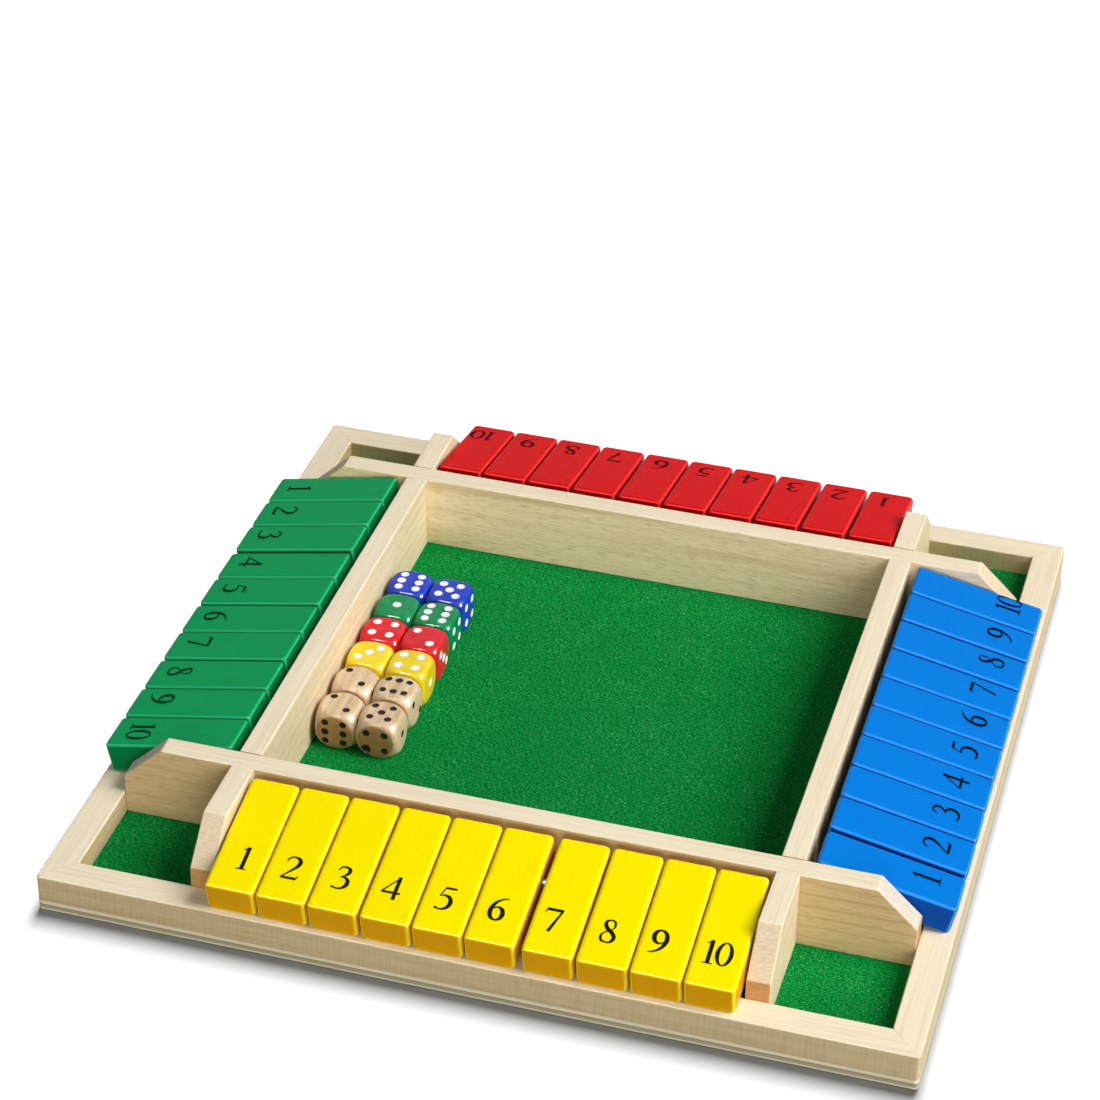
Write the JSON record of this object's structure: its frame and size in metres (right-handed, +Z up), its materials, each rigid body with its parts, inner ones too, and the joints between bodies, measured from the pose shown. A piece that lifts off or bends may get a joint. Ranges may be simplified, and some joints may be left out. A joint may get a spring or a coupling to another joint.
{
  "type": "shut the box game",
  "caption": "Square shut the box tray for a player on each side: felt dice floor, crossing wooden walls, painted number tiles that flip on steel rods, corner pockets and loose dice.",
  "frame": {"origin": "middle of the underside of the plywood base, on the table", "axes": "+Z up; -Y towards the player of the yellow row, +X towards the player of the blue row"},
  "size_m": [0.3, 0.3, 0.035],
  "materials": {
    "plywood": "bare three-ply birch plywood, sanded edge",
    "felt": "bright green needled craft felt",
    "pine": "bare planed pine, fine sanded",
    "steel_rod": "plain drawn steel rod",
    "paint_yellow": "wood under glossy yellow paint",
    "paint_blue": "wood under glossy blue paint",
    "paint_red": "wood under glossy red paint",
    "paint_green": "wood under glossy green paint",
    "dice_blue": "polished blue acrylic with white pips",
    "dice_green": "polished green acrylic with white pips",
    "dice_red": "polished red acrylic with white pips",
    "dice_yellow": "polished yellow acrylic with white pips",
    "dice_wood": "sanded and waxed beech with black pips"
  },
  "bodies": {
    "board": {"plywood_base": "plywood", "felt_sheet": "felt", "edge_rails": "pine", "front_wall": "pine", "back_wall": "pine", "left_wall": "pine", "right_wall": "pine", "hinge_rods": "steel_rod"},
    "tile_yellow_1": {"tile_yellow_1": "paint_yellow"},
    "tile_yellow_2": {"tile_yellow_2": "paint_yellow"},
    "tile_yellow_3": {"tile_yellow_3": "paint_yellow"},
    "tile_yellow_4": {"tile_yellow_4": "paint_yellow"},
    "tile_yellow_5": {"tile_yellow_5": "paint_yellow"},
    "tile_yellow_6": {"tile_yellow_6": "paint_yellow"},
    "tile_yellow_7": {"tile_yellow_7": "paint_yellow"},
    "tile_yellow_8": {"tile_yellow_8": "paint_yellow"},
    "tile_yellow_9": {"tile_yellow_9": "paint_yellow"},
    "tile_yellow_10": {"tile_yellow_10": "paint_yellow"},
    "tile_blue_1": {"tile_blue_1": "paint_blue"},
    "tile_blue_2": {"tile_blue_2": "paint_blue"},
    "tile_blue_3": {"tile_blue_3": "paint_blue"},
    "tile_blue_4": {"tile_blue_4": "paint_blue"},
    "tile_blue_5": {"tile_blue_5": "paint_blue"},
    "tile_blue_6": {"tile_blue_6": "paint_blue"},
    "tile_blue_7": {"tile_blue_7": "paint_blue"},
    "tile_blue_8": {"tile_blue_8": "paint_blue"},
    "tile_blue_9": {"tile_blue_9": "paint_blue"},
    "tile_blue_10": {"tile_blue_10": "paint_blue"},
    "tile_red_1": {"tile_red_1": "paint_red"},
    "tile_red_2": {"tile_red_2": "paint_red"},
    "tile_red_3": {"tile_red_3": "paint_red"},
    "tile_red_4": {"tile_red_4": "paint_red"},
    "tile_red_5": {"tile_red_5": "paint_red"},
    "tile_red_6": {"tile_red_6": "paint_red"},
    "tile_red_7": {"tile_red_7": "paint_red"},
    "tile_red_8": {"tile_red_8": "paint_red"},
    "tile_red_9": {"tile_red_9": "paint_red"},
    "tile_red_10": {"tile_red_10": "paint_red"},
    "tile_green_1": {"tile_green_1": "paint_green"},
    "tile_green_2": {"tile_green_2": "paint_green"},
    "tile_green_3": {"tile_green_3": "paint_green"},
    "tile_green_4": {"tile_green_4": "paint_green"},
    "tile_green_5": {"tile_green_5": "paint_green"},
    "tile_green_6": {"tile_green_6": "paint_green"},
    "tile_green_7": {"tile_green_7": "paint_green"},
    "tile_green_8": {"tile_green_8": "paint_green"},
    "tile_green_9": {"tile_green_9": "paint_green"},
    "tile_green_10": {"tile_green_10": "paint_green"},
    "die_blue_1": {"die_blue_1": "dice_blue"},
    "die_blue_2": {"die_blue_2": "dice_blue"},
    "die_green_1": {"die_green_1": "dice_green"},
    "die_green_2": {"die_green_2": "dice_green"},
    "die_red_1": {"die_red_1": "dice_red"},
    "die_red_2": {"die_red_2": "dice_red"},
    "die_yellow_1": {"die_yellow_1": "dice_yellow"},
    "die_yellow_2": {"die_yellow_2": "dice_yellow"},
    "die_wood_1": {"die_wood_1": "dice_wood"},
    "die_wood_2": {"die_wood_2": "dice_wood"},
    "die_wood_3": {"die_wood_3": "dice_wood"},
    "die_wood_4": {"die_wood_4": "dice_wood"}
  },
  "joints": [
    {"name": "yellow_1_flip", "type": "hinge", "parent": "board", "child": "tile_yellow_1", "pos_m": [-0.08109, -0.1169, 0.02622], "axis": [-1, 0, 0], "range_deg": [0, 149.1]},
    {"name": "yellow_2_flip", "type": "hinge", "parent": "board", "child": "tile_yellow_2", "pos_m": [-0.06337, -0.1169, 0.02622], "axis": [-1, 0, 0], "range_deg": [0, 149.1]},
    {"name": "yellow_3_flip", "type": "hinge", "parent": "board", "child": "tile_yellow_3", "pos_m": [-0.04555, -0.1169, 0.02622], "axis": [-1, 0, 0], "range_deg": [0, 149.1]},
    {"name": "yellow_4_flip", "type": "hinge", "parent": "board", "child": "tile_yellow_4", "pos_m": [-0.02753, -0.1169, 0.02622], "axis": [-1, 0, 0], "range_deg": [0, 149.1]},
    {"name": "yellow_5_flip", "type": "hinge", "parent": "board", "child": "tile_yellow_5", "pos_m": [-0.00971, -0.1169, 0.02622], "axis": [-1, 0, 0], "range_deg": [0, 149.1]},
    {"name": "yellow_6_flip", "type": "hinge", "parent": "board", "child": "tile_yellow_6", "pos_m": [0.00811, -0.1169, 0.02622], "axis": [-1, 0, 0], "range_deg": [0, 149.1]},
    {"name": "yellow_7_flip", "type": "hinge", "parent": "board", "child": "tile_yellow_7", "pos_m": [0.02743, -0.1169, 0.02622], "axis": [-1, 0, 0], "range_deg": [0, 149.1]},
    {"name": "yellow_8_flip", "type": "hinge", "parent": "board", "child": "tile_yellow_8", "pos_m": [0.04555, -0.1169, 0.02622], "axis": [-1, 0, 0], "range_deg": [0, 149.1]},
    {"name": "yellow_9_flip", "type": "hinge", "parent": "board", "child": "tile_yellow_9", "pos_m": [0.06337, -0.1169, 0.02622], "axis": [-1, 0, 0], "range_deg": [0, 149.1]},
    {"name": "yellow_10_flip", "type": "hinge", "parent": "board", "child": "tile_yellow_10", "pos_m": [0.08109, -0.1169, 0.02622], "axis": [-1, 0, 0], "range_deg": [0, 149.1]},
    {"name": "blue_1_flip", "type": "hinge", "parent": "board", "child": "tile_blue_1", "pos_m": [0.1169, -0.08109, 0.02622], "axis": [0, -1, 0], "range_deg": [0, 149.1]},
    {"name": "blue_2_flip", "type": "hinge", "parent": "board", "child": "tile_blue_2", "pos_m": [0.1169, -0.06196, 0.02622], "axis": [0, -1, 0], "range_deg": [0, 149.1]},
    {"name": "blue_3_flip", "type": "hinge", "parent": "board", "child": "tile_blue_3", "pos_m": [0.1169, -0.04407, 0.02622], "axis": [0, -1, 0], "range_deg": [0, 149.1]},
    {"name": "blue_4_flip", "type": "hinge", "parent": "board", "child": "tile_blue_4", "pos_m": [0.1169, -0.02627, 0.02622], "axis": [0, -1, 0], "range_deg": [0, 149.1]},
    {"name": "blue_5_flip", "type": "hinge", "parent": "board", "child": "tile_blue_5", "pos_m": [0.1169, -0.00857, 0.02622], "axis": [0, -1, 0], "range_deg": [0, 149.1]},
    {"name": "blue_6_flip", "type": "hinge", "parent": "board", "child": "tile_blue_6", "pos_m": [0.1169, 0.00914, 0.02622], "axis": [0, -1, 0], "range_deg": [0, 149.1]},
    {"name": "blue_7_flip", "type": "hinge", "parent": "board", "child": "tile_blue_7", "pos_m": [0.1169, 0.02694, 0.02622], "axis": [0, -1, 0], "range_deg": [0, 149.1]},
    {"name": "blue_8_flip", "type": "hinge", "parent": "board", "child": "tile_blue_8", "pos_m": [0.1169, 0.04502, 0.02622], "axis": [0, -1, 0], "range_deg": [0, 149.1]},
    {"name": "blue_9_flip", "type": "hinge", "parent": "board", "child": "tile_blue_9", "pos_m": [0.1169, 0.0632, 0.02622], "axis": [0, -1, 0], "range_deg": [0, 149.1]},
    {"name": "blue_10_flip", "type": "hinge", "parent": "board", "child": "tile_blue_10", "pos_m": [0.1169, 0.08109, 0.02622], "axis": [0, -1, 0], "range_deg": [0, 149.1]},
    {"name": "red_1_flip", "type": "hinge", "parent": "board", "child": "tile_red_1", "pos_m": [0.08109, 0.1169, 0.02622], "axis": [1, 0, 0], "range_deg": [0, 149.1]},
    {"name": "red_2_flip", "type": "hinge", "parent": "board", "child": "tile_red_2", "pos_m": [0.06287, 0.1169, 0.02622], "axis": [1, 0, 0], "range_deg": [0, 149.1]},
    {"name": "red_3_flip", "type": "hinge", "parent": "board", "child": "tile_red_3", "pos_m": [0.04465, 0.1169, 0.02622], "axis": [1, 0, 0], "range_deg": [0, 149.1]},
    {"name": "red_4_flip", "type": "hinge", "parent": "board", "child": "tile_red_4", "pos_m": [0.02663, 0.1169, 0.02622], "axis": [1, 0, 0], "range_deg": [0, 149.1]},
    {"name": "red_5_flip", "type": "hinge", "parent": "board", "child": "tile_red_5", "pos_m": [0.00881, 0.1169, 0.02622], "axis": [1, 0, 0], "range_deg": [0, 149.1]},
    {"name": "red_6_flip", "type": "hinge", "parent": "board", "child": "tile_red_6", "pos_m": [-0.00911, 0.1169, 0.02622], "axis": [1, 0, 0], "range_deg": [0, 149.1]},
    {"name": "red_7_flip", "type": "hinge", "parent": "board", "child": "tile_red_7", "pos_m": [-0.02733, 0.1169, 0.02622], "axis": [1, 0, 0], "range_deg": [0, 149.1]},
    {"name": "red_8_flip", "type": "hinge", "parent": "board", "child": "tile_red_8", "pos_m": [-0.04535, 0.1169, 0.02622], "axis": [1, 0, 0], "range_deg": [0, 149.1]},
    {"name": "red_9_flip", "type": "hinge", "parent": "board", "child": "tile_red_9", "pos_m": [-0.06327, 0.1169, 0.02622], "axis": [1, 0, 0], "range_deg": [0, 149.1]},
    {"name": "red_10_flip", "type": "hinge", "parent": "board", "child": "tile_red_10", "pos_m": [-0.08109, 0.1169, 0.02622], "axis": [1, 0, 0], "range_deg": [0, 149.1]},
    {"name": "green_1_flip", "type": "hinge", "parent": "board", "child": "tile_green_1", "pos_m": [-0.1169, 0.08109, 0.02622], "axis": [0, 1, 0], "range_deg": [0, 149.1]},
    {"name": "green_2_flip", "type": "hinge", "parent": "board", "child": "tile_green_2", "pos_m": [-0.1169, 0.06338, 0.02622], "axis": [0, 1, 0], "range_deg": [0, 149.1]},
    {"name": "green_3_flip", "type": "hinge", "parent": "board", "child": "tile_green_3", "pos_m": [-0.1169, 0.04556, 0.02622], "axis": [0, 1, 0], "range_deg": [0, 149.1]},
    {"name": "green_4_flip", "type": "hinge", "parent": "board", "child": "tile_green_4", "pos_m": [-0.1169, 0.02637, 0.02622], "axis": [0, 1, 0], "range_deg": [0, 149.1]},
    {"name": "green_5_flip", "type": "hinge", "parent": "board", "child": "tile_green_5", "pos_m": [-0.1169, 0.00866, 0.02622], "axis": [0, 1, 0], "range_deg": [0, 149.1]},
    {"name": "green_6_flip", "type": "hinge", "parent": "board", "child": "tile_green_6", "pos_m": [-0.1169, -0.00954, 0.02622], "axis": [0, 1, 0], "range_deg": [0, 149.1]},
    {"name": "green_7_flip", "type": "hinge", "parent": "board", "child": "tile_green_7", "pos_m": [-0.1169, -0.02726, 0.02622], "axis": [0, 1, 0], "range_deg": [0, 149.1]},
    {"name": "green_8_flip", "type": "hinge", "parent": "board", "child": "tile_green_8", "pos_m": [-0.1169, -0.04546, 0.02622], "axis": [0, 1, 0], "range_deg": [0, 149.1]},
    {"name": "green_9_flip", "type": "hinge", "parent": "board", "child": "tile_green_9", "pos_m": [-0.1169, -0.06328, 0.02622], "axis": [0, 1, 0], "range_deg": [0, 149.1]},
    {"name": "green_10_flip", "type": "hinge", "parent": "board", "child": "tile_green_10", "pos_m": [-0.1169, -0.08109, 0.02622], "axis": [0, 1, 0], "range_deg": [0, 149.1]},
    {"name": "die_blue_1_lift", "type": "slide", "parent": "board", "child": "die_blue_1", "axis": [0, 0, 1], "range_m": [0, 0.06]},
    {"name": "die_blue_2_lift", "type": "slide", "parent": "board", "child": "die_blue_2", "axis": [0, 0, 1], "range_m": [0, 0.06]},
    {"name": "die_green_1_lift", "type": "slide", "parent": "board", "child": "die_green_1", "axis": [0, 0, 1], "range_m": [0, 0.06]},
    {"name": "die_green_2_lift", "type": "slide", "parent": "board", "child": "die_green_2", "axis": [0, 0, 1], "range_m": [0, 0.06]},
    {"name": "die_red_1_lift", "type": "slide", "parent": "board", "child": "die_red_1", "axis": [0, 0, 1], "range_m": [0, 0.06]},
    {"name": "die_red_2_lift", "type": "slide", "parent": "board", "child": "die_red_2", "axis": [0, 0, 1], "range_m": [0, 0.06]},
    {"name": "die_yellow_1_lift", "type": "slide", "parent": "board", "child": "die_yellow_1", "axis": [0, 0, 1], "range_m": [0, 0.06]},
    {"name": "die_yellow_2_lift", "type": "slide", "parent": "board", "child": "die_yellow_2", "axis": [0, 0, 1], "range_m": [0, 0.06]},
    {"name": "die_wood_1_lift", "type": "slide", "parent": "board", "child": "die_wood_1", "axis": [0, 0, 1], "range_m": [0, 0.06]},
    {"name": "die_wood_2_lift", "type": "slide", "parent": "board", "child": "die_wood_2", "axis": [0, 0, 1], "range_m": [0, 0.06]},
    {"name": "die_wood_3_lift", "type": "slide", "parent": "board", "child": "die_wood_3", "axis": [0, 0, 1], "range_m": [0, 0.06]},
    {"name": "die_wood_4_lift", "type": "slide", "parent": "board", "child": "die_wood_4", "axis": [0, 0, 1], "range_m": [0, 0.06]}
  ]
}
